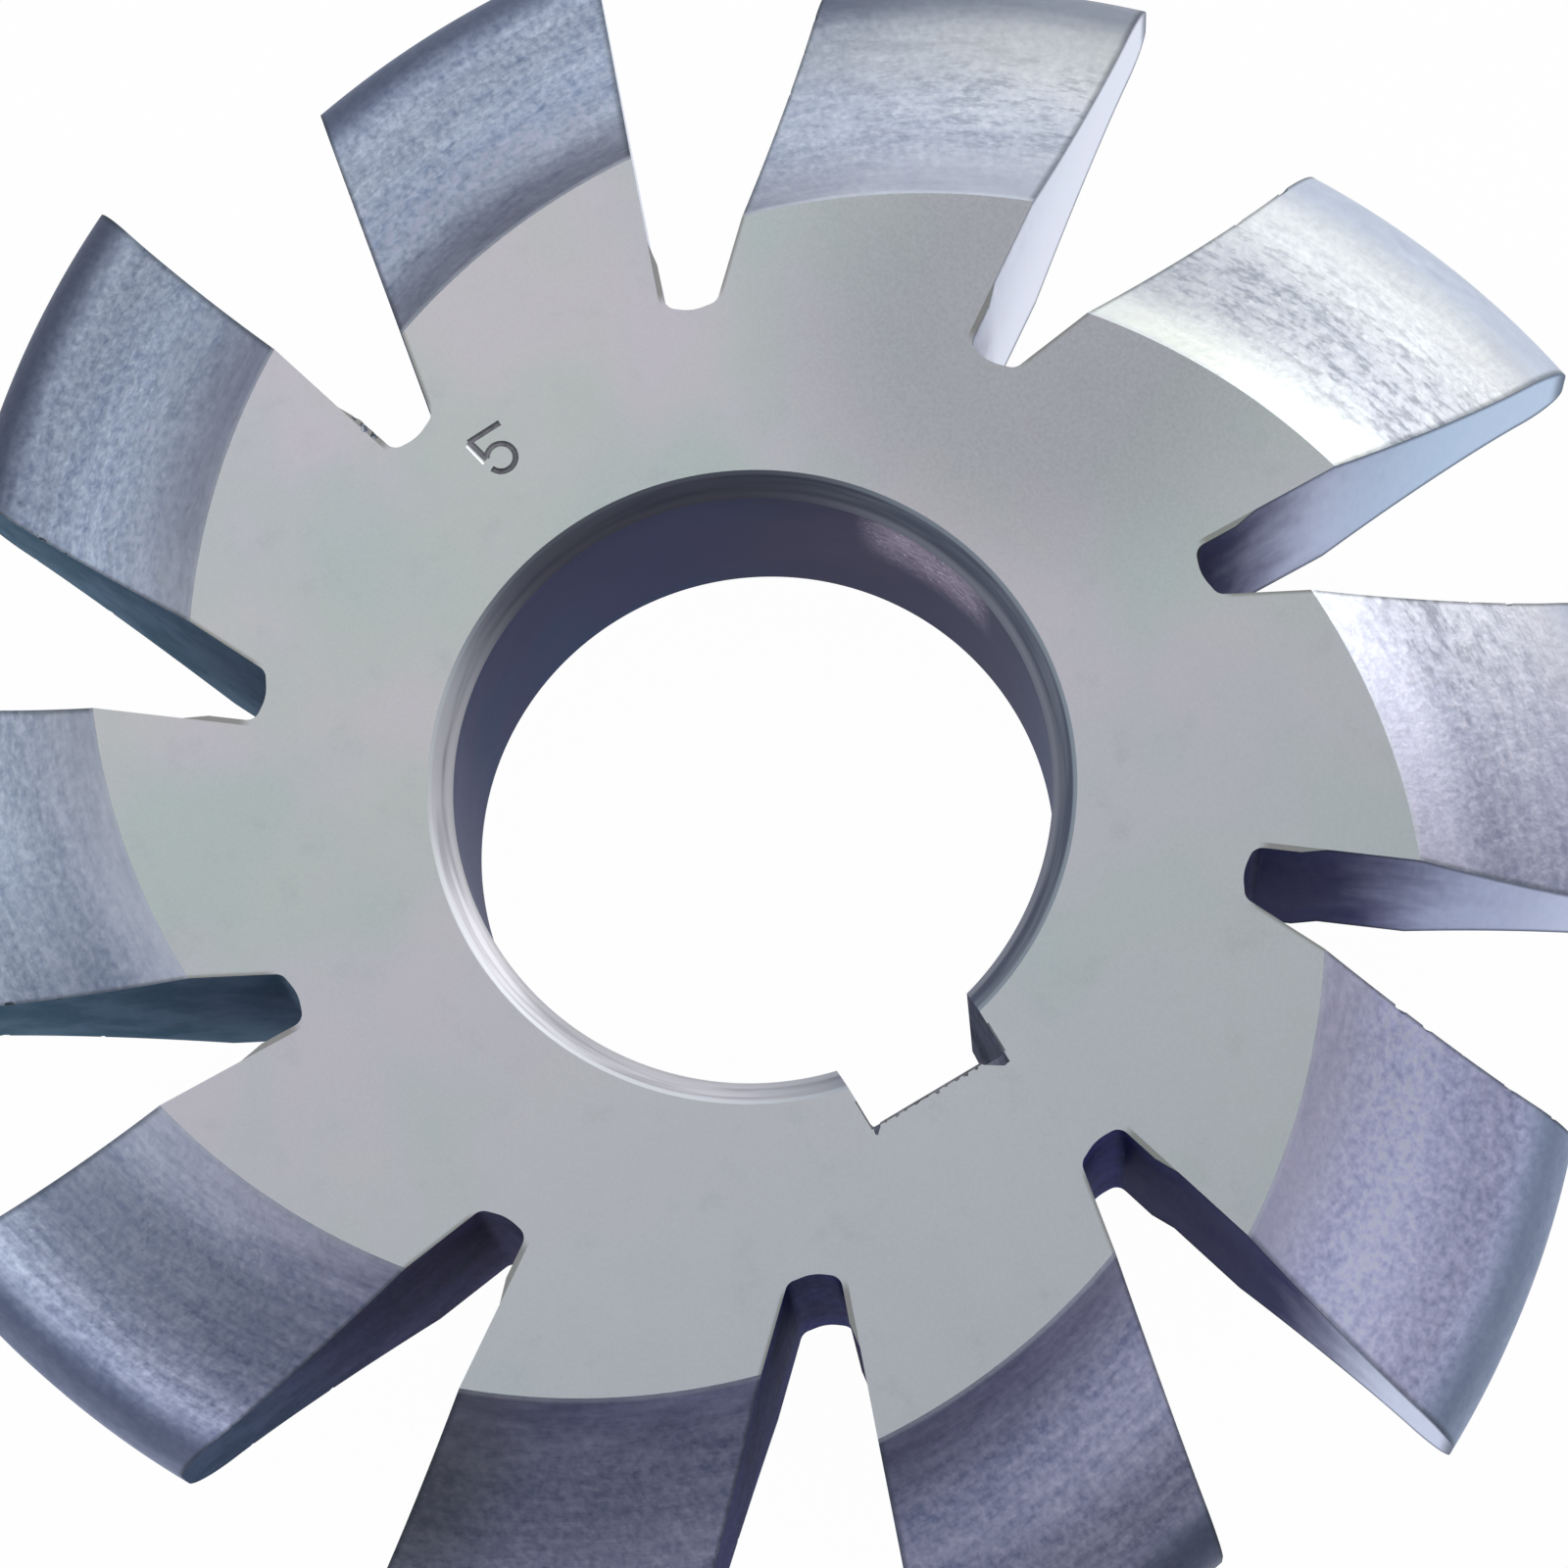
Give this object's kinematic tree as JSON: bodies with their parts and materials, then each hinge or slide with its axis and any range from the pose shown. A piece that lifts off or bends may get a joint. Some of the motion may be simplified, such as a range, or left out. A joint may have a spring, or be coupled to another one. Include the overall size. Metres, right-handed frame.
{
  "type": "disc milling cutter",
  "caption": "Form-relieved disc cutter for milling involute gear teeth, with flat radial cutting faces, open chip spaces and a keyed bore for a milling arbor.",
  "frame": {"origin": "centre of the bore on the mid-width plane", "axes": "+Z along the bore axis, out of one side face; +X through the middle of the keyway; seen from +Z the cutter turns clockwise when it cuts"},
  "size_m": [0.097, 0.101, 0.0186],
  "materials": {
    "tool_steel": "satin ground"
  },
  "bodies": {
    "root": {"milling_cutter": "tool_steel"}
  },
  "joints": []
}
